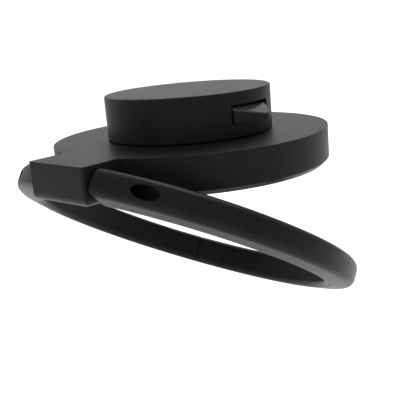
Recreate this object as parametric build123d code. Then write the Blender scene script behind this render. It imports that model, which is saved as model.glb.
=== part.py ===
"""Phone ring holder: a snap-in plug, a base that swivels under it and a folding finger ring.

The origin is the middle of the plug's flat face, which lies against the phone. +Z points into
the phone, X runs along the ring's hinge, and the hinge lug points to -Y.
"""
from build123d import *

import os
from math import atan2, cos, degrees, radians, sin, tan

# Plug: the round body that snaps into a socket behind the phone.
plug_diameter = 19.3
plug_height = 4.85
plug_edge = 0.2
plug_roof = 1.3
pocket_wall = 1.6
pocket_width = 8.4
pocket_corner = 1.0
boss_size = 5.2
boss_corner = 0.6
window_width = 6.0
window_lintel = 0.1
window_sill = 0.1

# Floor plate that closes the plug, and its screws.
floor_thickness = 1.25
floor_rim = 0.7
floor_clearance = 0.05
screw_inset = 1.7
screw_angle = 27.0
screw_thread = 1.4
screw_grip = 1.5
screw_head_diameter = 2.4
screw_head_height = 0.6
screw_slot_width = 0.35
screw_slot_depth = 0.25

# Latch bolts that stand out of the plug's windows.
bolt_nose_reach = 0.8
bolt_nose_run = 1.41666
bolt_nose_corner = 1.1
bolt_nose_face = 0.6
bolt_ramp_angle = 40.0
bolt_side_gap = 0.3
bolt_upper_gap = 0.37
bolt_lower_gap = 0.05
bolt_edge = 0.3
bolt_shoulder_length = 2.0
bolt_clearance = 0.05

# Coil springs behind the bolts.
spring_outer = 1.4
spring_wire = 0.2
spring_pitch = 0.9
spring_bore_clearance = 0.1
spring_bore_depth = 1.6
spring_end_gap = 0.01

# Swivel: stud, washers and disc spring.
stud_shank = 4.0
stud_thread = 2.5
stud_thread_length = 2.4
stud_thread_runout = 0.3
stud_head_diameter = 8.0
stud_head_height = 0.8
stud_slot_width = 0.9
stud_slot_depth = 0.35
swivel_clearance = 0.05
swivel_play = 0.03
slip_washer_inset = 1.5
slip_washer_thickness = 0.17
friction_washer_thickness = 0.3
disc_spring_thickness = 0.25
disc_spring_cone = 0.15

# Base disc, its hinge lug and the cap under the stud.
base_diameter = 32.0
base_thickness = 4.1
base_lower_edge = 0.5
lug_width = 8.85
lug_overhang = 3.82
lug_lower_edge = 0.85
lug_front_edge = 0.25
head_clearance = 0.4
cap_ledge = 0.6
cap_thickness = 0.75
cap_gap = 0.3
cap_edge = 0.12

# Hinge: pin, friction sleeve and washers.
hinge_overhang = 1.25
hinge_rise = 1.65
pin_diameter = 1.5
pin_length = 15.2
pin_chamfer = 0.2
sleeve_wall = 0.25
sleeve_slit = 0.3
sleeve_clearance = 0.01
hinge_washer_rim = 0.55
hinge_washer_thickness = 0.15
hinge_washer_play = 0.03

# Finger ring.
ring_clearance = 1.15
ring_offset = 0.42
ring_width = 3.3
ring_thickness = 3.26
ring_taper = 11.0
ring_outer_corner = 1.0
ring_inner_corner = 0.7
ring_end_edge = 0.15
ring_open_angle = 31.25
seam_angle = 125.2
seam_width = 0.14
seam_depth = 0.12

# Heights, measured from the plug's face.
plug_bottom = -plug_height
floor_top = plug_bottom + floor_thickness
pocket_top = -plug_roof
pocket_height = pocket_top - floor_top
window_top = pocket_top - window_lintel
window_bottom = floor_top + window_sill
spring_axis_height = floor_top + pocket_height / 2
base_top = plug_bottom - slip_washer_thickness - swivel_play
base_bottom = base_top - base_thickness
cap_top = base_bottom + cap_thickness
head_bottom = cap_top + cap_gap
head_top = head_bottom + stud_head_height
disc_spring_top = head_top + disc_spring_cone + disc_spring_thickness
friction_washer_bottom = disc_spring_top + swivel_play
web_bottom = friction_washer_bottom + friction_washer_thickness
hinge_height = base_bottom + hinge_rise

# Diameters and reaches that follow from the sizes above.
plug_radius = plug_diameter / 2
pocket_reach = plug_radius - pocket_wall
floor_seat_diameter = plug_diameter - 2 * floor_rim
screw_circle = floor_seat_diameter / 2 - screw_inset
bolt_front = plug_radius + bolt_nose_reach
bolt_stop = pocket_reach - bolt_clearance
bolt_back = bolt_stop - bolt_shoulder_length
base_radius = base_diameter / 2
swivel_bore = stud_shank + 2 * swivel_clearance
recess_diameter = stud_head_diameter + 2 * head_clearance
cap_diameter = recess_diameter + 2 * cap_ledge
hinge_reach = base_radius + hinge_overhang
sleeve_bore = pin_diameter + 2 * sleeve_clearance
sleeve_diameter = sleeve_bore + 2 * sleeve_wall
ring_middle = base_radius + ring_clearance + ring_width / 2
ring_end = lug_width / 2 + hinge_washer_thickness + hinge_washer_play

SIDES = {"right": 1, "left": -1}
HINGE = Pos(0, -hinge_reach, hinge_height)


def disc(diameter, bottom, top):
    """Upright round plate between two heights."""
    return Pos(0, 0, bottom) * extrude(Circle(diameter / 2), top - bottom)


def washer(outer, inner, bottom, top):
    """Upright round plate with a round hole."""
    return disc(outer, bottom, top) - disc(inner, bottom, top)


def crossbar(diameter, length):
    """Round bar along X, centred on the YZ plane."""
    return extrude(Plane.YZ * Circle(diameter / 2), length / 2, both=True)


def turned(side):
    """Half turn that takes a piece of the right side to the left."""
    return Rot(0, 0, 90 - 90 * side)


def screw_spots():
    """Places of the floor screws: a pair on each side of the pocket."""
    turns = [middle + lean for middle in (90, 270) for lean in (-screw_angle, screw_angle)]
    return [Rot(0, 0, turn) * Pos(screw_circle, 0, 0) for turn in turns]


def plug_shell():
    """Turned cup with a milled pocket for the bolts and a boss for the swivel stud."""
    shell = disc(plug_diameter, plug_bottom, 0)
    shell = fillet(shell.edges().group_by(Axis.Z)[-1], plug_edge)
    shell -= disc(floor_seat_diameter, plug_bottom, floor_top)
    pocket = RectangleRounded(2 * pocket_reach, pocket_width, pocket_corner)
    pocket -= RectangleRounded(boss_size, boss_size, boss_corner)
    shell -= Pos(0, 0, floor_top) * extrude(pocket, pocket_height)
    shell -= disc(stud_thread, floor_top, floor_top + stud_thread_length + stud_thread_runout)
    opening = Box(2 * pocket_wall, window_width, window_top - window_bottom)
    for side in SIDES.values():
        shell -= Pos(side * plug_radius, 0, (window_top + window_bottom) / 2) * opening
    for spot in screw_spots():
        shell -= spot * disc(screw_thread, floor_top, floor_top + screw_grip)
    return shell


def screw_blank():
    """Countersunk screw without its slot, standing in the floor plate."""
    head = Cone(screw_head_diameter / 2, screw_thread / 2, screw_head_height)
    shank = disc(screw_thread, plug_bottom + screw_head_height, floor_top + screw_grip)
    return Pos(0, 0, plug_bottom + screw_head_height / 2) * head + shank


def plug_floor():
    """Plate let into the plug's underside, countersunk for its screws."""
    plate = washer(floor_seat_diameter - 2 * floor_clearance, swivel_bore, plug_bottom, floor_top)
    for spot in screw_spots():
        plate -= spot * screw_blank()
    return plate


def floor_screws():
    """The floor plate's slotted screws."""
    slot = Box(screw_head_diameter, screw_slot_width, 2 * screw_slot_depth)
    screw = screw_blank() - Pos(0, 0, plug_bottom) * slot
    return Compound([(spot * screw).solid() for spot in screw_spots()])


def bolt_nose():
    """Nose in the window: a wedge in plan, ramped above, with its outer edges eased."""
    top = window_top - bolt_upper_gap
    bottom = window_bottom + bolt_lower_gap
    crest = bottom + bolt_nose_face
    ramp_back = bolt_front - (top - crest) / tan(radians(bolt_ramp_angle))
    profile = Polyline(
        (bolt_back, bottom), (bolt_front, bottom), (bolt_front, crest), (ramp_back, top), (bolt_back, top),
        close=True,
    )
    half = window_width / 2 - bolt_side_gap
    lean = atan2(bolt_nose_run, 2 * half)
    tip = bolt_front + bolt_nose_corner * ((1 + sin(lean)) / cos(lean) - 1)
    tail = tip - bolt_nose_run
    plan = make_face(Polyline((bolt_back, -half), (tail, -half), (tip, half), (bolt_back, half), close=True))
    plan = fillet(plan.vertices().sort_by(Axis.X)[-1], bolt_nose_corner)
    nose = extrude(Plane.XZ * make_face(profile), half, both=True)
    nose &= Pos(0, 0, bottom) * extrude(plan, top - bottom)
    outer_edges = nose.edges().filter_by(lambda edge: edge.center().X > pocket_reach)
    return fillet(outer_edges.filter_by_position(Axis.Z, bottom, top, inclusive=(False, False)), bolt_edge)


def latch_bolt(side):
    """Bolt with its nose, the shoulders that stop it and the bore for its spring."""
    outline = RectangleRounded(
        2 * bolt_shoulder_length, pocket_width - 2 * bolt_clearance, pocket_corner
    )
    outline &= Pos(bolt_shoulder_length, 0) * Rectangle(2 * bolt_shoulder_length, pocket_width)
    shoulder = extrude(outline, pocket_height - 2 * bolt_clearance)
    bolt = bolt_nose() + Pos(bolt_back, 0, floor_top + bolt_clearance) * shoulder
    bore = crossbar(spring_outer + 2 * spring_bore_clearance, 2 * spring_bore_depth)
    bolt -= Pos(bolt_back, 0, spring_axis_height) * bore
    return bolt if side > 0 else mirror(bolt, Plane.YZ)


def latch_spring(side):
    """Coil spring between the boss and the bottom of the bolt's bore."""
    seat = boss_size / 2 + spring_end_gap
    length = bolt_back + spring_bore_depth - spring_end_gap - seat
    path = Helix(spring_pitch, length - spring_wire, (spring_outer - spring_wire) / 2)
    wire = Plane(origin=path @ 0, z_dir=path % 0) * Circle(spring_wire / 2)
    coil = sweep(wire, path=path, is_frenet=True)
    return turned(side) * Pos(seat + spring_wire / 2, 0, spring_axis_height) * Rot(0, 90, 0) * coil


def swivel_stud():
    """Shouldered screw that holds the base under the plug."""
    stud = disc(stud_head_diameter, head_bottom, head_top)
    stud += disc(stud_shank, head_top, floor_top)
    stud += disc(stud_thread, floor_top, floor_top + stud_thread_length)
    slot = Box(stud_head_diameter, stud_slot_width, 2 * stud_slot_depth)
    return stud - Pos(0, 0, head_bottom) * slot


def disc_spring():
    """Coned washer that presses the base up against the plug."""
    inner = swivel_bore / 2
    outer = stud_head_diameter / 2
    section = Polyline(
        (outer, 0),
        (inner, disc_spring_cone),
        (inner, disc_spring_cone + disc_spring_thickness),
        (outer, disc_spring_thickness),
        close=True,
    )
    return Pos(0, 0, head_top) * revolve(Plane.XZ * make_face(section), Axis.Z)


def slip_washer():
    """Thin washer that sets the gap between plug and base."""
    outer = plug_diameter - 2 * slip_washer_inset
    return washer(outer, swivel_bore, plug_bottom - slip_washer_thickness, plug_bottom)


def friction_washer():
    """Washer between the disc spring and the base's web."""
    return washer(stud_head_diameter, swivel_bore, friction_washer_bottom, web_bottom)


def hinge_lug():
    """Square lug with round lower edges, level with the disc above and below."""
    reach = base_radius + lug_overhang
    middle = base_top - base_thickness / 2
    front = Pos(0, middle) * Rectangle(lug_width, base_thickness)
    front = fillet(front.vertices().group_by(Axis.Y)[0], lug_lower_edge)
    side = Pos(-reach / 2, middle) * Rectangle(reach, base_thickness)
    side = fillet(side.vertices().group_by(Axis.Y)[0].sort_by(Axis.X)[0], lug_lower_edge)
    plan = Pos(0, -reach / 2) * Rectangle(lug_width, reach)
    plan = fillet(plan.vertices().group_by(Axis.Y)[0], lug_front_edge)
    lug = extrude(Plane.XZ * front, reach)
    lug &= extrude(Plane.YZ * side, lug_width, both=True)
    return lug & Pos(0, 0, base_bottom) * extrude(plan, base_thickness)


def base_plate():
    """Disc and lug in one piece, with the swivel's stepped bore and the hinge's cross bore."""
    plate = disc(base_diameter, base_bottom, base_top)
    plate = chamfer(plate.edges().group_by(Axis.Z)[0], base_lower_edge)
    plate += hinge_lug()
    plate -= disc(swivel_bore, web_bottom, base_top)
    plate -= disc(recess_diameter, cap_top, web_bottom)
    plate -= disc(cap_diameter, base_bottom, cap_top)
    return plate - HINGE * crossbar(sleeve_diameter, lug_width)


def base_cap():
    """Flush cap over the stud's head."""
    cap = disc(cap_diameter, base_bottom, cap_top)
    return fillet(cap.edges().group_by(Axis.Z)[0], cap_edge)


def hinge_pin():
    """Plain pin pressed into both ends of the ring."""
    pin = crossbar(pin_diameter, pin_length)
    return HINGE * chamfer(pin.edges().filter_by(GeomType.CIRCLE), pin_chamfer)


def hinge_sleeve():
    """Curled sleeve in the lug, slit along its length, that grips the pin."""
    sleeve = crossbar(sleeve_diameter, lug_width) - crossbar(sleeve_bore, lug_width)
    slit = Box(lug_width, sleeve_slit, sleeve_diameter)
    return HINGE * (sleeve - Pos(0, 0, sleeve_diameter / 2) * slit)


def hinge_washer(side):
    """Washer against one side of the lug."""
    ring = crossbar(sleeve_bore + 2 * hinge_washer_rim, hinge_washer_thickness)
    ring -= crossbar(sleeve_bore, hinge_washer_thickness)
    return HINGE * Pos(side * (lug_width + hinge_washer_thickness) / 2, 0, 0) * ring


def ring_section():
    """Section of the ring on the XZ plane: thinner toward its outside, with round corners."""
    half = ring_width / 2
    lean = half * tan(radians(ring_taper))
    inner = ring_thickness / 2 + lean
    outer = ring_thickness / 2 - lean
    outline = make_face(Polyline((-half, -inner), (half, -outer), (half, outer), (-half, inner), close=True))
    outline = fillet(outline.vertices().group_by(Axis.X)[-1], ring_outer_corner)
    outline = fillet(outline.vertices().group_by(Axis.X)[0], ring_inner_corner)
    return Plane.XZ * Pos(ring_middle, hinge_height) * outline


def seam():
    """Fine line round the section where the ring's bar was joined."""
    skin = ring_section() - offset(ring_section(), -seam_depth)
    return Rot(0, 0, seam_angle) * revolve(skin, Axis.Z, degrees(seam_width / ring_middle))


def finger_ring():
    """Ring round the base, cut open for the lug, then swung down to its resting angle.

    Folded flat it lies a little away from the lug, so the gap is wider where a nail lifts it.
    """
    ring = revolve(ring_section(), Axis.Z)
    gap = Box(2 * ring_end, 2 * ring_width, 2 * ring_thickness)
    ring -= Pos(0, -ring_middle, hinge_height) * gap
    ring = fillet(ring.faces().filter_by(Plane.YZ).edges(), ring_end_edge)
    ring = Pos(0, ring_offset, 0) * (ring - seam())
    ring -= HINGE * crossbar(pin_diameter, 2 * ring_middle)
    return HINGE * Rot(-ring_open_angle, 0, 0) * HINGE.inverse() * ring


def all_pieces():
    """Every piece by the name it is kept under."""
    pieces = {
        "plug_shell": plug_shell(),
        "plug_floor": plug_floor(),
        "floor_screws": floor_screws(),
        "swivel_stud": swivel_stud(),
        "disc_spring": disc_spring(),
        "slip_washer": slip_washer(),
        "friction_washer": friction_washer(),
        "base_plate": base_plate(),
        "base_cap": base_cap(),
        "hinge_pin": hinge_pin(),
        "hinge_sleeve": hinge_sleeve(),
        "finger_ring": finger_ring(),
    }
    for name, side in SIDES.items():
        pieces[f"latch_bolt_{name}"] = latch_bolt(side)
        pieces[f"latch_spring_{name}"] = latch_spring(side)
        pieces[f"hinge_washer_{name}"] = hinge_washer(side)
    return pieces


os.makedirs("parts", exist_ok=True)
for node, piece in all_pieces().items():
    export_step(piece, f"parts/{node}.step")
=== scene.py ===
"""Phone ring holder: finishes, springs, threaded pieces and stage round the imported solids."""

from math import atan2, pi, radians

import bpy
from bpy.props import FloatProperty, FloatVectorProperty, PointerProperty
from mathutils import Euler, Matrix, Vector


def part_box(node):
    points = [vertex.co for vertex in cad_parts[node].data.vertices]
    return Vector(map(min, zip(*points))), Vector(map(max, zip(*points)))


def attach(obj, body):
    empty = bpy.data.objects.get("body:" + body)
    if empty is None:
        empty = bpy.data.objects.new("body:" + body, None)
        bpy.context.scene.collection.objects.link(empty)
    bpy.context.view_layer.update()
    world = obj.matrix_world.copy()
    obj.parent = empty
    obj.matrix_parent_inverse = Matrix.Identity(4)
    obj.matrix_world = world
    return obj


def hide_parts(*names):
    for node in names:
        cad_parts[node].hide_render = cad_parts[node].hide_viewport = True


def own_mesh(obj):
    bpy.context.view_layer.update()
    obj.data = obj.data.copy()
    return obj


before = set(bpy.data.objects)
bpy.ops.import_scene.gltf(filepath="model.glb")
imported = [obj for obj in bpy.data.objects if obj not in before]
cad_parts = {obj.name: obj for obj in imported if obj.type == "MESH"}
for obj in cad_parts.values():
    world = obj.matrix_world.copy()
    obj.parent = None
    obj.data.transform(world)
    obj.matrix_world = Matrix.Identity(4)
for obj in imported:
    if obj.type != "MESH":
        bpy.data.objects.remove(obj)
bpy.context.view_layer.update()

bl_info = {
    "name": "Phone Ring Holder",
    "version": (1, 0, 0),
    "blender": (4, 5, 0),
    "location": "View3D > Sidebar > Ring Holder",
    "description": "Finishes, springs, threaded pieces and stage of a phone ring holder",
    "category": "Object",
}

ANODISED_NODES = ("plug_shell", "plug_floor", "base_plate", "finger_ring")
BOLT_NODES = ("latch_bolt_right", "latch_bolt_left")
WASHER_NODES = ("slip_washer", "hinge_washer_right", "hinge_washer_left")
HINGE_NODES = ("hinge_pin", "hinge_sleeve")

# How faces of the solids are told apart.
BORE_REACH = 1.02  # of the pin's radius, round the hinge line
SEAM_REACH = 0.52  # of the groove's angle, to each side of its middle
RAMP_RISE = 0.35  # least upward part of a ramp's normal
NOSE_START = 0.98  # of the floor plate's half width, from the middle

# Values of the noise textures, which run from 0 to 1.
NOISE_MIDDLE = 0.5
DARK_SHADE, LIGHT_SHADE = 0.3, 0.7

# How finely the springs and the threaded pieces are divided.
COIL_STEPS = 32.0  # along each turn of a spring
WIRE_SIDES = 14
THREAD_SIDES = 40
THREAD_ROWS = 8.0  # along each turn of a thread
THREAD_END_ROWS = 4.0  # added for the two ends
HEAD_SIDES = 72
SHANK_SIDES = 56
MERGE_DISTANCE = 0.000001

THREAD_DEPTH = 0.55  # of the pitch
SLOT_LENGTH = 3.0  # of the head's radius, so that a slot runs out on both sides
NYLON_SHADE = 0.94  # of the nylon's own tone

FLOOR_WHITE = 1.02  # brightness of the floor as it is seen
UNDER_LIGHT_DROP = 0.9  # of the way from the plug's face down to the floor
DIM_FROM, DIM_TO = -0.2, 0.7  # toward the camera's right, where the surround gets dimmer
SENSOR_WIDTH = 36.0
CLIP_START = 0.001

# Types of node group sockets.
NUMBER = "NodeSocketFloat"
VECTOR = "NodeSocketVector"
GEOMETRY = "NodeSocketGeometry"
MATERIAL = "NodeSocketMaterial"


def length(name, description, default):
    """Size in metres that shows in the scene's own unit."""
    return FloatProperty(
        name=name, description=description, default=default, min=0.0, precision=5, unit="LENGTH"
    )


def angle(name, description, degrees):
    """Angle that shows in degrees."""
    return FloatProperty(
        name=name, description=description, default=radians(degrees), subtype="ANGLE"
    )


def share(name, description, default):
    """Number from 0 to 1."""
    return FloatProperty(
        name=name, description=description, default=default, min=0.0, max=1.0, subtype="FACTOR"
    )


def tint(name, description, default):
    """Linear colour."""
    return FloatVectorProperty(
        name=name, description=description, default=default, min=0.0, max=1.0, size=3,
        subtype="COLOR",
    )


class RingHolderFinishes(bpy.types.PropertyGroup):
    """Colours and surface of the holder's materials."""

    anodised_dark: tint(
        "Anodised Dark", "Deeper tone of the black anodised metal", (0.0075, 0.0075, 0.0077)
    )
    anodised_light: tint(
        "Anodised Light", "Lighter tone of the black anodised metal", (0.0105, 0.0105, 0.0108)
    )
    anodised_roughness: share("Anodised Roughness", "Mean roughness of the anodised metal", 0.4)
    anodised_gloss: share("Anodised Gloss", "Specular level of the anodised metal", 0.09)
    blast_size: length("Blast Size", "Width of the pits left by blasting", 0.00009)
    blast_depth: length("Blast Depth", "Depth of the pits left by blasting", 0.0000012)
    moulded_dark: tint(
        "Moulded Dark", "Deeper tone of the black plastic", (0.0065, 0.0065, 0.0067)
    )
    moulded_light: tint(
        "Moulded Light", "Lighter tone of the black plastic", (0.0095, 0.0095, 0.0098)
    )
    moulded_roughness: share("Moulded Roughness", "Mean roughness of the plastic", 0.33)
    moulded_gloss: share("Moulded Gloss", "Specular level of the plastic", 0.13)
    # The ramps' two tones are a painted highlight: a lighter grey that stands in for the light
    # from above falling on the bolts' ramps.
    ramp_highlight_dark: tint(
        "Painted Highlight Dark", "Deeper tone of the plastic on the bolts' ramps", (0.04, 0.04, 0.041)
    )
    ramp_highlight_light: tint(
        "Painted Highlight Light", "Lighter tone of the plastic on the bolts' ramps", (0.055, 0.055, 0.056)
    )
    ramp_gloss: share("Ramp Gloss", "Specular level of the plastic on the bolts' ramps", 0.28)
    steel_dark: tint("Steel Dark", "Tone in the tool lines of the steel", (0.36, 0.36, 0.37))
    steel_light: tint(
        "Steel Light", "Tone between the tool lines of the steel", (0.52, 0.52, 0.53)
    )
    nylon: tint("Nylon", "Tone of the natural nylon", (0.72, 0.71, 0.66))


class RingHolderRing(bpy.types.PropertyGroup):
    """Where the joint groove of the ring's bar lies."""

    open_angle: angle("Open Angle", "Angle of the ring from its folded place", 31.25)
    offset: length(
        "Offset", "How far the folded ring lies from the middle, away from the lug", 0.00042
    )
    seam_angle: angle("Seam Angle", "Where the groove starts, round the folded ring", 125.2)
    seam_turn: angle("Seam Turn", "Angle that the groove takes up", 0.427)


class RingHolderSprings(bpy.types.PropertyGroup):
    """Coil springs behind the latch bolts."""

    wire: length("Wire", "Diameter of the spring wire", 0.0002)
    turns: FloatProperty(name="Turns", description="Turns of each coil", default=6.0, min=2.0)
    closing: share("Closing", "How far the end turns close up", 0.8)
    travel: length("Travel", "How far a bolt is pushed in", 0.0009)


class RingHolderScrews(bpy.types.PropertyGroup):
    """Sizes of the threaded pieces inside."""

    screw_head: length("Screw Head", "Diameter of a floor screw's head", 0.0024)
    screw_head_height: length("Screw Head Height", "Height of a floor screw's head", 0.0006)
    screw_thread: length("Screw Thread", "Diameter of a floor screw's thread", 0.0014)
    screw_neck: length("Screw Neck", "Plain length under a floor screw's head", 0.0003)
    screw_pitch: length("Screw Pitch", "Pitch of a floor screw's thread", 0.0003)
    screw_slot: length("Screw Slot", "Width of a floor screw's slot", 0.00035)
    screw_slot_depth: length("Screw Slot Depth", "Depth of a floor screw's slot", 0.00025)
    screw_circle: length("Screw Circle", "Radius on which the floor screws stand", 0.00725)
    screw_lean: angle("Screw Lean", "Angle of a floor screw from the pocket's middle", 27.0)
    stud_head_height: length("Stud Head Height", "Height of the swivel stud's head", 0.0008)
    stud_shank: length("Stud Shank", "Diameter of the swivel stud's shank", 0.004)
    stud_thread: length("Stud Thread", "Diameter of the swivel stud's thread", 0.0025)
    stud_thread_length: length("Stud Thread Length", "Length of the swivel stud's thread", 0.0024)
    stud_pitch: length("Stud Pitch", "Pitch of the swivel stud's thread", 0.00045)
    stud_slot: length("Stud Slot", "Width of the swivel stud's slot", 0.0009)
    stud_slot_depth: length("Stud Slot Depth", "Depth of the swivel stud's slot", 0.00035)


class RingHolderStage(bpy.types.PropertyGroup):
    """Floor, lights and camera."""

    floor_height: FloatProperty(
        name="Floor Height", description="Height of the floor under the plug's face",
        default=-0.05, unit="LENGTH",
    )
    floor_size: length("Floor Size", "Width of the floor", 4.0)
    floor_colour: tint("Floor Colour", "Colour of the pale floor", (0.86, 0.86, 0.86))
    floor_mirrored: share(
        "Floor Mirrored", "Share of the floor's own light that shows in reflections", 0.4
    )
    surround: tint("Surround", "Colour of the white surround", (1.0, 1.0, 1.0))
    surround_fill: share(
        "Surround Fill", "Share of the surround that lights matte surfaces", 0.7
    )
    shaded_side: share(
        "Shaded Side", "How much dimmer the surround is on the right than on the left", 0.5
    )
    back_light_place: FloatVectorProperty(
        name="Back Light Place", description="Where the soft light above and behind hangs",
        default=(-0.12, 0.33, 0.39), subtype="TRANSLATION", unit="LENGTH",
    )
    back_light_size: length("Back Light Size", "Width of the soft light above and behind", 0.3)
    back_light_level: FloatProperty(
        name="Back Light Level", default=4.0, min=0.0,
        description="Brightness of the soft light above and behind, where white is 1",
    )
    under_light_size: length("Under Light Size", "Width of the soft light under the holder", 0.3)
    under_light_level: FloatProperty(
        name="Under Light Level", default=0.7, min=0.0,
        description="Brightness of the soft light under the holder, where white is 1",
    )
    camera_place: FloatVectorProperty(
        name="Camera Place", description="Where the camera stands",
        default=(0.060324, -0.062143, 0.007758), subtype="TRANSLATION", unit="LENGTH", precision=5,
    )
    camera_turn: FloatVectorProperty(
        name="Camera Turn", description="How the camera is turned",
        default=(1.32997, 0.08272, 0.74527), subtype="EULER",
    )
    camera_lens: FloatProperty(
        name="Camera Lens", description="Focal length in millimetres on a 36 mm sensor",
        default=66.456, unit="CAMERA",
    )


class RingHolderSettings(bpy.types.PropertyGroup):
    """All settings of the ring holder."""

    finishes: PointerProperty(type=RingHolderFinishes)
    ring: PointerProperty(type=RingHolderRing)
    springs: PointerProperty(type=RingHolderSprings)
    screws: PointerProperty(type=RingHolderScrews)
    stage: PointerProperty(type=RingHolderStage)


def add_node(tree, kind, inputs=None, **settings):
    """New node with its settings, and its inputs given as values or as other nodes' outputs."""
    node = tree.nodes.new(kind)
    for name, value in settings.items():
        setattr(node, name, value)
    for name, value in (inputs or {}).items():
        if isinstance(value, bpy.types.NodeSocket):
            tree.links.new(value, node.inputs[name])
        else:
            node.inputs[name].default_value = value
    return node


def compute(tree, operation, first, second=0.0, third=0.0):
    """Output of a Math node."""
    values = {0: first, 1: second, 2: third}
    return add_node(tree, "ShaderNodeMath", values, operation=operation).outputs[0]


def add_sockets(tree, inputs, outputs):
    """Named sockets of a node group, each with its type."""
    for name, kind in inputs.items():
        tree.interface.new_socket(name, in_out="INPUT", socket_type=kind)
    for name, kind in outputs.items():
        tree.interface.new_socket(name, in_out="OUTPUT", socket_type=kind)
    return tree.nodes.new("NodeGroupInput").outputs, tree.nodes.new("NodeGroupOutput").inputs


def add_effect_sockets(tree, *sizes):
    """Sockets of an effect: its position and sizes, then height, roughness and shade."""
    numbers = dict.fromkeys((*sizes, "Roughness", "Spread"), NUMBER)
    results = dict.fromkeys(("Height", "Roughness", "Shade"), NUMBER)
    return add_sockets(tree, {"Position": VECTOR, **numbers}, results)


def end_effect(tree, given, result, height, shade):
    """Shared end of an effect, whose roughness follows its shade."""
    lean = compute(tree, "SUBTRACT", shade, NOISE_MIDDLE)
    rough = compute(tree, "MULTIPLY_ADD", lean, given["Spread"], given["Roughness"])
    tree.links.new(height, result["Height"])
    tree.links.new(rough, result["Roughness"])
    tree.links.new(shade, result["Shade"])


def grain_group():
    """Fine pits, with broad patches that are a little rougher and lighter."""
    name = "surface_grain"
    if name in bpy.data.node_groups:
        return bpy.data.node_groups[name]
    tree = bpy.data.node_groups.new(name, "ShaderNodeTree")
    given, result = add_effect_sockets(tree, "Pit Size", "Patch Size")
    pits = add_node(tree, "ShaderNodeTexNoise", {
        "Vector": given["Position"], "Scale": compute(tree, "DIVIDE", 1.0, given["Pit Size"]),
        "Detail": 2.0, "Roughness": 0.6,
    })
    patches = add_node(tree, "ShaderNodeTexNoise", {
        "Vector": given["Position"], "Scale": compute(tree, "DIVIDE", 1.0, given["Patch Size"]),
        "Detail": 3.0, "Roughness": 0.55,
    })
    end_effect(tree, given, result, pits.outputs[0], patches.outputs[0])
    return tree


def line_group():
    """Fine tool lines round an axis, which is the third axis of the given position."""
    name = "tool_lines"
    if name in bpy.data.node_groups:
        return bpy.data.node_groups[name]
    tree = bpy.data.node_groups.new(name, "ShaderNodeTree")
    given, result = add_effect_sockets(tree, "Pitch")
    parts = add_node(tree, "ShaderNodeSeparateXYZ", {0: given["Position"]}).outputs
    squares = [compute(tree, "POWER", part, 2.0) for part in (parts[0], parts[1])]
    radius = compute(tree, "SQRT", compute(tree, "ADD", *squares))
    along = compute(tree, "DIVIDE", compute(tree, "ADD", radius, parts[2]), given["Pitch"])
    lines = add_node(tree, "ShaderNodeTexNoise", {
        "W": along, "Scale": 1.0, "Detail": 2.0, "Roughness": 0.6,
    }, noise_dimensions="1D")
    end_effect(tree, given, result, lines.outputs[0], lines.outputs[0])
    return tree


def new_material(name):
    """Node material with its output and one Principled shader."""
    material = bpy.data.materials.new(name)
    material.use_nodes = True
    tree = material.node_tree
    return material, tree, tree.nodes["Principled BSDF"].inputs


def place_group(tree, group, **inputs):
    """Node group placed in a material, with its inputs."""
    node = tree.nodes.new("ShaderNodeGroup")
    node.node_tree = group
    for name, value in inputs.items():
        socket = node.inputs[name.replace("_", " ").title()]
        if isinstance(value, bpy.types.NodeSocket):
            tree.links.new(value, socket)
        else:
            socket.default_value = value
    return node


def dress(tree, shader, effect, tones, depth):
    """Colour, roughness and bump of a shader from an effect."""
    shade = {0: effect.outputs["Shade"], 1: DARK_SHADE, 2: LIGHT_SHADE}
    ramp = add_node(tree, "ShaderNodeMapRange", shade)
    mix = add_node(tree, "ShaderNodeMix", {0: ramp.outputs[0]}, data_type="RGBA")
    mix.inputs[6].default_value = (*tones[0], 1.0)
    mix.inputs[7].default_value = (*tones[1], 1.0)
    bump = add_node(tree, "ShaderNodeBump", {
        "Strength": 1.0, "Distance": depth, "Height": effect.outputs["Height"],
    })
    tree.links.new(mix.outputs[2], shader["Base Color"])
    tree.links.new(effect.outputs["Roughness"], shader["Roughness"])
    tree.links.new(bump.outputs[0], shader["Normal"])


def grained(name, tones, depth, **grain):
    """Material with fine pits and broad patches, and its shader's inputs."""
    material, tree, shader = new_material(name)
    position = tree.nodes.new("ShaderNodeTexCoord").outputs["Object"]
    effect = place_group(tree, grain_group(), position=position, **grain)
    dress(tree, shader, effect, tones, depth)
    return material, shader


def blasted_anodised(finishes):
    """Black anodised metal, bead blasted to an even matte."""
    material, shader = grained(
        "blasted_anodised", (finishes.anodised_dark, finishes.anodised_light),
        depth=finishes.blast_depth, pit_size=finishes.blast_size, patch_size=0.004,
        roughness=finishes.anodised_roughness, spread=0.08,
    )
    shader["Specular IOR Level"].default_value = finishes.anodised_gloss
    return material


def turned_anodised(finishes):
    """Black anodised metal that keeps the lathe's fine rings."""
    material, tree, shader = new_material("turned_anodised")
    position = tree.nodes.new("ShaderNodeTexCoord").outputs["Object"]
    lines = place_group(
        tree, line_group(), position=position, pitch=0.00006,
        roughness=finishes.anodised_roughness, spread=0.12,
    )
    tones = (finishes.anodised_dark, finishes.anodised_light)
    dress(tree, shader, lines, tones, depth=0.000001)
    shader["Specular IOR Level"].default_value = finishes.anodised_gloss
    return material


def moulded_black(finishes, name, tones, gloss):
    """Black plastic with the faint texture of its mould."""
    material, shader = grained(
        name, tones, depth=0.000002, pit_size=0.00015, patch_size=0.0015,
        roughness=finishes.moulded_roughness, spread=0.1,
    )
    shader["Specular IOR Level"].default_value = gloss
    return material


def painted_shade_black():
    """Painted shade for the pin's bore and the seam: a near-black, rough material that gives back
    almost no light, so these hollows stay dark.
    """
    material, shader = grained(
        "painted_shade_black", ((0.004, 0.004, 0.004), (0.007, 0.007, 0.007)), depth=0.000002,
        pit_size=0.0001, patch_size=0.001, roughness=0.9, spread=0.1,
    )
    shader["Specular IOR Level"].default_value = 0.0
    return material


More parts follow.
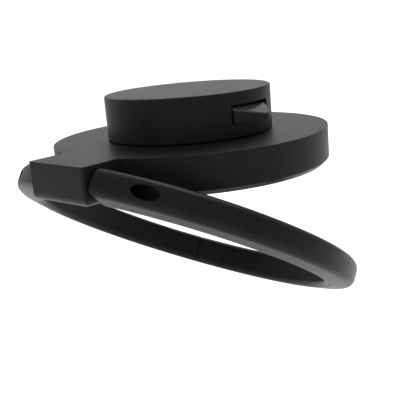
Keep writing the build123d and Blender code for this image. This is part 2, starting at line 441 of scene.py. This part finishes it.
def natural_nylon(finishes):
    """Milky nylon that lets a little light in."""
    material, shader = grained(
        "natural_nylon", (finishes.nylon * NYLON_SHADE, finishes.nylon), depth=0.000002,
        pit_size=0.0002, patch_size=0.002, roughness=0.5, spread=0.12,
    )
    shader["Subsurface Weight"].default_value = 0.2
    shader["Subsurface Radius"].default_value = (0.0006, 0.0006, 0.0005)
    return material


def machined_steel(finishes, name, axis, centre, roughness):
    """Bright steel with tool lines round the given axis."""
    material, tree, shader = new_material(name)
    position = tree.nodes.new("ShaderNodeTexCoord").outputs["Object"]
    turn = {"Z": (0.0, 0.0, 0.0), "X": (0.0, -pi / 2, 0.0)}[axis]
    shifted = add_node(
        tree, "ShaderNodeVectorMath", {0: position, 1: centre}, operation="SUBTRACT"
    ).outputs[0]
    turned = add_node(tree, "ShaderNodeMapping", {"Vector": shifted, "Rotation": turn}).outputs[0]
    lines = place_group(
        tree, line_group(), position=turned, pitch=0.00005, roughness=roughness, spread=0.15
    )
    dress(tree, shader, lines, (finishes.steel_dark, finishes.steel_light), depth=0.0000015)
    shader["Metallic"].default_value = 1.0
    return material


def plated_steel(finishes):
    """Bright plated steel with a fine grain."""
    material, shader = grained(
        "plated_steel", (finishes.steel_dark, finishes.steel_light), depth=0.000001,
        pit_size=0.0001, patch_size=0.0012, roughness=0.3, spread=0.12,
    )
    shader["Metallic"].default_value = 1.0
    return material


def paint(nodes, material):
    """Give CAD nodes one material."""
    for name in nodes:
        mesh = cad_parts[name].data
        mesh.materials.clear()
        mesh.materials.append(material)


def shade_pivot_bore(name, material):
    """Give the wall of the pin's bore, which lies round the hinge line, its own material, which
    paints shade into the bore.
    """
    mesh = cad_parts[name].data
    low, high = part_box("hinge_pin")
    axis = (low + high) / 2
    reach = (high.y - low.y) / 2 * BORE_REACH
    mesh.materials.append(material)
    for face in mesh.polygons:
        offsets = [mesh.vertices[index].co - axis for index in face.vertices]
        if max(offset.yz.length for offset in offsets) < reach:
            face.material_index = len(mesh.materials) - 1


def shade_seam(name, form, material):
    """Give the walls of the fine joint groove across the ring's bar their own material, which
    paints shade into the groove.
    """
    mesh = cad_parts[name].data
    low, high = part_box("hinge_pin")
    hinge = (low + high) / 2
    fold = Matrix.Rotation(form.open_angle, 3, "X")
    mesh.materials.append(material)
    for face in mesh.polygons:
        flat = [fold @ (mesh.vertices[index].co - hinge) + hinge for index in face.vertices]
        along = [atan2(point.y - form.offset, point.x) - form.seam_angle for point in flat]
        reach = max(abs(turn - form.seam_turn / 2) for turn in along)
        if reach < form.seam_turn * SEAM_REACH:
            face.material_index = len(mesh.materials) - 1


def paint_ramp_highlight(nodes, material):
    """Give the ramps of the bolts' noses, which face up outside the wall, their own material, a
    lighter grey that is a painted highlight.
    """
    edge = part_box("plug_floor")[1].x
    for name in nodes:
        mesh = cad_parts[name].data
        mesh.materials.append(material)
        for face in mesh.polygons:
            if face.normal.z > RAMP_RISE and abs(face.center.x) > edge * NOSE_START:
                face.material_index = len(mesh.materials) - 1


def new_piece(name, tree, values, points=((0.0, 0.0, 0.0),)):
    """Plain mesh made by a Geometry Nodes tree that starts from the given points."""
    mesh = bpy.data.meshes.new(name)
    mesh.from_pydata([tuple(point) for point in points], [], [])
    piece = bpy.data.objects.new(name, mesh)
    bpy.context.scene.collection.objects.link(piece)
    maker = piece.modifiers.new("maker", "NODES")
    maker.node_group = tree
    for item in tree.interface.items_tree:
        if item.in_out == "INPUT" and item.name in values:
            maker[item.identifier] = values[item.name]
    made = piece.evaluated_get(bpy.context.evaluated_depsgraph_get())
    result = bpy.data.meshes.new_from_object(made)
    piece.modifiers.remove(maker)
    piece.data = result
    bpy.data.meshes.remove(mesh)
    if not result.polygons:
        raise RuntimeError(f"{name} came out empty")
    return piece


def new_shape_tree(name, *sizes):
    """Geometry Nodes tree with the given sizes, and its outer sockets."""
    tree = bpy.data.node_groups.new(name, "GeometryNodeTree")
    given, result = add_sockets(
        tree, {"Geometry": GEOMETRY, **dict.fromkeys(sizes, NUMBER), "Material": MATERIAL},
        {"Geometry": GEOMETRY},
    )
    return tree, given, result


def finish_tree(tree, geometry, given, result):
    """Shared end of a tree: plain geometry in the given material."""
    plain = add_node(tree, "GeometryNodeRealizeInstances", {"Geometry": geometry})
    done = add_node(tree, "GeometryNodeSetMaterial", {
        "Geometry": plain.outputs[0], "Material": given["Material"],
    })
    tree.links.new(done.outputs[0], result["Geometry"])


def point_parts(tree):
    """The three parts of each point's position."""
    position = tree.nodes.new("GeometryNodeInputPosition").outputs[0]
    return add_node(tree, "ShaderNodeSeparateXYZ", {0: position}).outputs


def spring_tree():
    """Coil along X that starts at the origin, with its end turns closed up."""
    tree, given, result = new_shape_tree(
        "coil_spring", "Length", "Turns", "Coil Radius", "Wire Radius", "Closing"
    )
    line = add_node(tree, "GeometryNodeCurvePrimitiveLine")
    points = add_node(tree, "GeometryNodeResampleCurve", {
        "Curve": line.outputs[0], "Count": compute(tree, "MULTIPLY", given["Turns"], COIL_STEPS),
    }, mode="COUNT")
    along = tree.nodes.new("GeometryNodeSplineParameter").outputs["Factor"]
    turn = compute(tree, "MULTIPLY", compute(tree, "MULTIPLY", along, given["Turns"]), 2 * pi)
    wave = compute(tree, "SINE", compute(tree, "MULTIPLY", along, 2 * pi))
    sway = compute(tree, "DIVIDE", wave, 2 * pi)
    eased = compute(tree, "SUBTRACT", along, compute(tree, "MULTIPLY", sway, given["Closing"]))
    place = add_node(tree, "ShaderNodeCombineXYZ", {
        0: compute(tree, "MULTIPLY", eased, given["Length"]),
        1: compute(tree, "MULTIPLY", compute(tree, "COSINE", turn), given["Coil Radius"]),
        2: compute(tree, "MULTIPLY", compute(tree, "SINE", turn), given["Coil Radius"]),
    })
    coil = add_node(tree, "GeometryNodeSetPosition", {
        "Geometry": points.outputs[0], "Position": place.outputs[0],
    })
    wire = add_node(tree, "GeometryNodeCurvePrimitiveCircle", {
        "Resolution": WIRE_SIDES, "Radius": given["Wire Radius"],
    })
    tube = add_node(tree, "GeometryNodeCurveToMesh", {
        "Curve": coil.outputs[0], "Profile Curve": wire.outputs[0], "Fill Caps": True,
    })
    finish_tree(tree, tube.outputs[0], given, result)
    return tree


def thread_mesh(tree, given):
    """V thread round Z that starts at the origin, closed by a flat face at each end."""
    turns = compute(tree, "DIVIDE", given["Thread Length"], given["Pitch"])
    rows = compute(tree, "MULTIPLY_ADD", turns, THREAD_ROWS, THREAD_END_ROWS)
    grid = add_node(tree, "GeometryNodeMeshGrid", {
        "Size X": 1.0, "Size Y": 1.0, "Vertices X": THREAD_SIDES + 1, "Vertices Y": rows,
    })
    spot = point_parts(tree)
    # The first and the last row close the ends, so the thread runs between them.
    step = compute(tree, "DIVIDE", 1.0, compute(tree, "SUBTRACT", rows, 1.0))
    inner = compute(tree, "SUBTRACT", compute(tree, "ADD", spot[1], 0.5), step)
    span = compute(tree, "SUBTRACT", 1.0, compute(tree, "MULTIPLY", step, 2.0))
    along = add_node(tree, "ShaderNodeMapRange", {0: inner, 1: 0.0, 2: span}).outputs[0]
    height = compute(tree, "MULTIPLY", along, given["Thread Length"])
    lead = compute(tree, "SUBTRACT", compute(tree, "DIVIDE", height, given["Pitch"]), spot[0])
    slope = compute(tree, "MULTIPLY", given["Pitch"], 2 * THREAD_DEPTH)
    groove = compute(tree, "MULTIPLY", compute(tree, "PINGPONG", lead, 0.5), slope)
    last = compute(tree, "SUBTRACT", 0.5, compute(tree, "MULTIPLY", step, 0.5))
    wall = compute(tree, "LESS_THAN", compute(tree, "ABSOLUTE", spot[1]), last)
    crest = compute(tree, "SUBTRACT", given["Thread Radius"], groove)
    radius = compute(tree, "MULTIPLY", crest, wall)
    turn = compute(tree, "MULTIPLY", spot[0], 2 * pi)
    place = add_node(tree, "ShaderNodeCombineXYZ", {
        0: compute(tree, "MULTIPLY", radius, compute(tree, "COSINE", turn)),
        1: compute(tree, "MULTIPLY", radius, compute(tree, "SINE", turn)),
        2: height,
    })
    wound = add_node(tree, "GeometryNodeSetPosition", {
        "Geometry": grid.outputs[0], "Position": place.outputs[0],
    })
    return add_node(tree, "GeometryNodeMergeByDistance", {
        "Geometry": wound.outputs[0], "Distance": MERGE_DISTANCE,
    })


def slotted_head(tree, given):
    """Screw head that stands on the origin, with a slot in its lower face."""
    head = add_node(tree, "GeometryNodeMeshCone", {
        "Vertices": HEAD_SIDES, "Radius Top": given["Head Top Radius"],
        "Radius Bottom": given["Head Radius"], "Depth": given["Head Height"],
    })
    # Half of the cutter is outside the head.
    size = add_node(tree, "ShaderNodeCombineXYZ", {
        0: compute(tree, "MULTIPLY", given["Head Radius"], SLOT_LENGTH),
        1: given["Slot Width"],
        2: compute(tree, "MULTIPLY", given["Slot Depth"], 2.0),
    })
    slot = add_node(tree, "GeometryNodeMeshCube", {"Size": size.outputs[0]})
    return add_node(
        tree, "GeometryNodeMeshBoolean", {0: head.outputs[0], 1: slot.outputs[0]},
        operation="DIFFERENCE", solver="MANIFOLD",
    )


def raise_section(tree, section, height):
    """Section of a screw moved up by the given height."""
    foot = add_node(tree, "ShaderNodeCombineXYZ", {2: height})
    return add_node(tree, "GeometryNodeTransform", {
        "Geometry": section.outputs[0], "Translation": foot.outputs[0],
    })


def screw_tree():
    """Slotted screw on each given point: its head, then a plain shank and a V thread above it."""
    tree, given, result = new_shape_tree(
        "slotted_screw", "Head Radius", "Head Top Radius", "Head Height", "Slot Width",
        "Slot Depth", "Shank Radius", "Shank Length", "Thread Radius", "Thread Length", "Pitch",
    )
    head = slotted_head(tree, given)
    shank = add_node(tree, "GeometryNodeMeshCone", {
        "Vertices": SHANK_SIDES, "Radius Top": given["Shank Radius"],
        "Radius Bottom": given["Shank Radius"], "Depth": given["Shank Length"],
    })
    raised_shank = raise_section(tree, shank, given["Head Height"])
    thread_foot = compute(tree, "ADD", given["Head Height"], given["Shank Length"])
    raised_thread = raise_section(tree, thread_mesh(tree, given), thread_foot)
    screw = tree.nodes.new("GeometryNodeJoinGeometry")
    for section in (head, raised_shank, raised_thread):
        tree.links.new(section.outputs[0], screw.inputs[0])
    spot = point_parts(tree)
    facing = add_node(tree, "ShaderNodeCombineXYZ", {
        2: compute(tree, "ARCTAN2", spot[1], spot[0]),
    })
    turn = add_node(tree, "FunctionNodeEulerToRotation", {0: facing.outputs[0]})
    points = add_node(tree, "GeometryNodeMeshToPoints", {"Mesh": given["Geometry"]})
    screws = add_node(tree, "GeometryNodeInstanceOnPoints", {
        "Points": points.outputs[0], "Instance": screw.outputs[0], "Rotation": turn.outputs[0],
    })
    finish_tree(tree, screws.outputs[0], given, result)
    return tree


def seat_threaded(piece, node):
    """Crisp edges on a threaded piece, which then replaces its plain solid in the plug."""
    piece.data.shade_smooth()
    piece.data.set_sharp_from_angle(angle=radians(35))
    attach(piece, "plug")
    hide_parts(node)


def seen_share(tree, mirrored):
    """One for what the camera sees, the given share for reflections and zero for matte light."""
    ray = tree.nodes.new("ShaderNodeLightPath").outputs
    glossy = compute(tree, "MULTIPLY", ray["Is Glossy Ray"], mirrored)
    passing = compute(tree, "MAXIMUM", glossy, ray["Is Transmission Ray"])
    return compute(tree, "MAXIMUM", ray["Is Camera Ray"], passing)


def lay_floor(scene, stage):
    """Flat pale floor that shows the object's shadow and lets a view from below through."""
    half = stage.floor_size / 2
    signs = ((-1, -1), (1, -1), (1, 1), (-1, 1))
    corners = [(x * half, y * half, stage.floor_height) for x, y in signs]
    mesh = bpy.data.meshes.new("floor")
    mesh.from_pydata(corners, [], [(0, 1, 2, 3)])
    floor = bpy.data.objects.new("floor", mesh)
    scene.collection.objects.link(floor)
    material, tree, shader = new_material("pale_floor")
    shader["Base Color"].default_value = (*stage.floor_colour, 1.0)
    shader["Roughness"].default_value = 0.9
    shader["Specular IOR Level"].default_value = 0.0
    # The floor's own light lifts it to white in the picture, but lights nothing matte.
    lift = FLOOR_WHITE - stage.floor_colour[0] * stage.surround_fill
    seen = seen_share(tree, stage.floor_mirrored)
    shader["Emission Color"].default_value = (1.0, 1.0, 1.0, 1.0)
    tree.links.new(compute(tree, "MULTIPLY", seen, lift), shader["Emission Strength"])
    clear = tree.nodes.new("ShaderNodeBsdfTransparent")
    below = tree.nodes.new("ShaderNodeNewGeometry").outputs["Backfacing"]
    mix = add_node(tree, "ShaderNodeMixShader", {
        0: below, 1: tree.nodes["Principled BSDF"].outputs[0], 2: clear.outputs[0],
    })
    tree.links.new(mix.outputs[0], tree.nodes["Material Output"].inputs["Surface"])
    mesh.materials.append(material)


def set_surround(scene, stage):
    """White surround, dimmer on matte surfaces, and in reflections toward the right."""
    world = bpy.data.worlds.new("white_surround")
    world.use_nodes = True
    tree = world.node_tree
    direction = tree.nodes.new("ShaderNodeTexCoord").outputs["Generated"]
    right = Euler(stage.camera_turn).to_matrix().col[0]
    lean = add_node(
        tree, "ShaderNodeVectorMath", {0: direction, 1: right}, operation="DOT_PRODUCT"
    ).outputs["Value"]
    mirrored = add_node(tree, "ShaderNodeMapRange", {
        0: lean, 1: DIM_FROM, 2: DIM_TO, 3: 1.0, 4: 1.0 - stage.shaded_side,
    }).outputs[0]
    strength = compute(tree, "MAXIMUM", seen_share(tree, mirrored), stage.surround_fill)
    background = tree.nodes["Background"].inputs
    background["Color"].default_value = (*stage.surround, 1.0)
    tree.links.new(strength, background["Strength"])
    scene.world = world


def hang_light(scene, name, place, size, level):
    """Square soft light of the given brightness that faces the holder, out of the picture."""
    light = bpy.data.lights.new(name, "AREA")
    light.size = size
    light.energy = level * pi * size ** 2
    lamp = bpy.data.objects.new(name, light)
    lamp.location = place
    lamp.rotation_euler = (-Vector(place)).to_track_quat("-Z", "Y").to_euler()
    lamp.visible_camera = False
    scene.collection.objects.link(lamp)


def set_camera(scene, stage):
    """Camera where the photograph was taken from."""
    lens = bpy.data.cameras.new("camera")
    lens.lens = stage.camera_lens
    lens.sensor_width = SENSOR_WIDTH
    lens.clip_start = CLIP_START
    camera = bpy.data.objects.new("camera", lens)
    camera.location = stage.camera_place
    camera.rotation_euler = stage.camera_turn
    scene.collection.objects.link(camera)
    scene.camera = camera


class RINGHOLDER_OT_anodised_body(bpy.types.Operator):
    """Finish the body in blasted black, with painted shade in its bore and seam, and the cap in
    turned black
    """

    bl_idname = "ring_holder.anodised_body"
    bl_label = "Anodised Body"

    def execute(self, context):
        finishes = context.scene.ring_holder.finishes
        paint(ANODISED_NODES, blasted_anodised(finishes))
        # Painted shade: the bore and the seam get a near-black material.
        black = painted_shade_black()
        shade_pivot_bore("finger_ring", black)
        shade_seam("finger_ring", context.scene.ring_holder.ring, black)
        paint(("base_cap",), turned_anodised(finishes))
        return {"FINISHED"}


class RINGHOLDER_OT_moulded_pieces(bpy.types.Operator):
    """Finish the bolts and dark washers in black plastic, with a painted highlight of lighter grey
    on the bolts' ramps, and the friction washer in nylon
    """

    bl_idname = "ring_holder.moulded_pieces"
    bl_label = "Moulded Pieces"

    def execute(self, context):
        finishes = context.scene.ring_holder.finishes
        tones = (finishes.moulded_dark, finishes.moulded_light)
        plain = moulded_black(finishes, "moulded_black", tones, finishes.moulded_gloss)
        paint(BOLT_NODES + WASHER_NODES, plain)
        # Painted highlight: the ramps get lighter tones that stand in for the light from above.
        tones = (finishes.ramp_highlight_dark, finishes.ramp_highlight_light)
        highlighted = moulded_black(finishes, "ramp_painted_highlight", tones, finishes.ramp_gloss)
        paint_ramp_highlight(BOLT_NODES, highlighted)
        paint(("friction_washer",), natural_nylon(finishes))
        return {"FINISHED"}


class RINGHOLDER_OT_steel_pieces(bpy.types.Operator):
    """Finish the hinge pin, its sleeve and the disc spring in machined steel"""

    bl_idname = "ring_holder.steel_pieces"
    bl_label = "Steel Pieces"

    def execute(self, context):
        finishes = context.scene.ring_holder.finishes
        low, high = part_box("hinge_pin")
        middle = (low + high) / 2
        paint(HINGE_NODES, machined_steel(finishes, "hinge_steel", "X", middle, roughness=0.28))
        low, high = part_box("disc_spring")
        middle = (low + high) / 2
        steel = machined_steel(finishes, "disc_spring_steel", "Z", middle, roughness=0.3)
        paint(("disc_spring",), steel)
        return {"FINISHED"}


class RINGHOLDER_OT_latch_springs(bpy.types.Operator):
    """Wind the coil springs behind the latch bolts"""

    bl_idname = "ring_holder.latch_springs"
    bl_label = "Latch Springs"

    def execute(self, context):
        settings = context.scene.ring_holder
        springs = settings.springs
        tree = spring_tree()
        for side, sign in (("right", 1), ("left", -1)):
            node = f"latch_spring_{side}"
            low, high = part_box(node)
            middle = (low + high) / 2
            seat = Vector((low.x if sign > 0 else high.x, middle.y, middle.z))
            coil = new_piece(f"spring_coil_{side}", tree, {
                "Length": high.x - low.x - springs.wire,
                "Turns": springs.turns,
                "Coil Radius": (high.y - low.y - springs.wire) / 2,
                "Wire Radius": springs.wire / 2,
                "Closing": springs.closing,
                "Material": machined_steel(
                    settings.finishes, f"spring_wire_{side}", "X", middle, roughness=0.25
                ),
            })
            turn = Matrix.Rotation(0.0 if sign > 0 else pi, 4, "Z")
            start = Matrix.Translation((springs.wire / 2, 0.0, 0.0))
            coil.data.transform(Matrix.Translation(seat) @ turn @ start)
            coil.data.shade_smooth()
            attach(coil, "plug")
            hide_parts(node)
            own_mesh(coil)
        return {"FINISHED"}


class RINGHOLDER_OT_threaded_pieces(bpy.types.Operator):
    """Cut the slots and threads of the floor screws and the swivel stud"""

    bl_idname = "ring_holder.threaded_pieces"
    bl_label = "Threaded Pieces"

    def execute(self, context):
        settings = context.scene.ring_holder
        screws = settings.screws
        tree = screw_tree()
        low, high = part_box("floor_screws")
        leans = (-screws.screw_lean, screws.screw_lean)
        turns = [middle + lean for middle in (pi / 2, -pi / 2) for lean in leans]
        arm = Vector((screws.screw_circle, 0.0, low.z))
        fasteners = new_piece("threaded_screws", tree, {
            "Head Radius": screws.screw_head / 2,
            "Head Top Radius": screws.screw_thread / 2,
            "Head Height": screws.screw_head_height,
            "Slot Width": screws.screw_slot,
            "Slot Depth": screws.screw_slot_depth,
            "Shank Radius": screws.screw_thread / 2,
            "Shank Length": screws.screw_neck,
            "Thread Radius": screws.screw_thread / 2,
            "Thread Length": high.z - low.z - screws.screw_head_height - screws.screw_neck,
            "Pitch": screws.screw_pitch,
            "Material": plated_steel(settings.finishes),
        }, [Matrix.Rotation(turn, 3, "Z") @ arm for turn in turns])
        seat_threaded(fasteners, "floor_screws")
        low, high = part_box("swivel_stud")
        middle = (low + high) / 2
        stud = new_piece("threaded_stud", tree, {
            "Head Radius": (high.x - low.x) / 2,
            "Head Top Radius": (high.x - low.x) / 2,
            "Head Height": screws.stud_head_height,
            "Slot Width": screws.stud_slot,
            "Slot Depth": screws.stud_slot_depth,
            "Shank Radius": screws.stud_shank / 2,
            "Shank Length": high.z - low.z - screws.stud_head_height - screws.stud_thread_length,
            "Thread Radius": screws.stud_thread / 2,
            "Thread Length": screws.stud_thread_length,
            "Pitch": screws.stud_pitch,
            "Material": machined_steel(
                settings.finishes, "stud_steel", "Z", middle, roughness=0.3
            ),
        }, [(0.0, 0.0, low.z)])
        seat_threaded(stud, "swivel_stud")
        return {"FINISHED"}


class RINGHOLDER_OT_stage(bpy.types.Operator):
    """Set up the pale floor, the white surround, the soft lights and the camera"""

    bl_idname = "ring_holder.stage"
    bl_label = "Stage"

    def execute(self, context):
        scene = context.scene
        stage = scene.ring_holder.stage
        scene.view_settings.view_transform = "Standard"
        lay_floor(scene, stage)
        set_surround(scene, stage)
        hang_light(
            scene, "back_light", stage.back_light_place, stage.back_light_size,
            stage.back_light_level,
        )
        below = Vector((0.0, 0.0, stage.floor_height * UNDER_LIGHT_DROP))
        hang_light(scene, "under_light", below, stage.under_light_size, stage.under_light_level)
        set_camera(scene, stage)
        return {"FINISHED"}


class RINGHOLDER_PT_panel(bpy.types.Panel):
    """Sidebar panel that lists the steps and settings"""

    bl_idname = "RINGHOLDER_PT_panel"
    bl_label = "Ring Holder"
    bl_space_type = "VIEW_3D"
    bl_region_type = "UI"
    bl_category = "Ring Holder"

    def draw(self, context):
        for step in STEPS:
            self.layout.operator(step.bl_idname)
        settings = context.scene.ring_holder
        for group_name in settings.__annotations__:
            group = getattr(settings, group_name)
            box = self.layout.box()
            for name in group.__annotations__:
                box.prop(group, name)


STEPS = (
    RINGHOLDER_OT_anodised_body,
    RINGHOLDER_OT_moulded_pieces,
    RINGHOLDER_OT_steel_pieces,
    RINGHOLDER_OT_latch_springs,
    RINGHOLDER_OT_threaded_pieces,
    RINGHOLDER_OT_stage,
)
CLASSES = (
    RingHolderFinishes,
    RingHolderRing,
    RingHolderSprings,
    RingHolderScrews,
    RingHolderStage,
    RingHolderSettings,
    *STEPS,
    RINGHOLDER_PT_panel,
)


def register():
    for item in CLASSES:
        bpy.utils.register_class(item)
    bpy.types.Scene.ring_holder = PointerProperty(type=RingHolderSettings)


def unregister():
    del bpy.types.Scene.ring_holder
    for item in reversed(CLASSES):
        bpy.utils.unregister_class(item)


def main():
    """Run every step in order."""
    register()
    bpy.ops.ring_holder.anodised_body()
    bpy.ops.ring_holder.moulded_pieces()
    bpy.ops.ring_holder.steel_pieces()
    bpy.ops.ring_holder.latch_springs()
    bpy.ops.ring_holder.threaded_pieces()
    bpy.ops.ring_holder.stage()


if __name__ == "__main__":
    main()
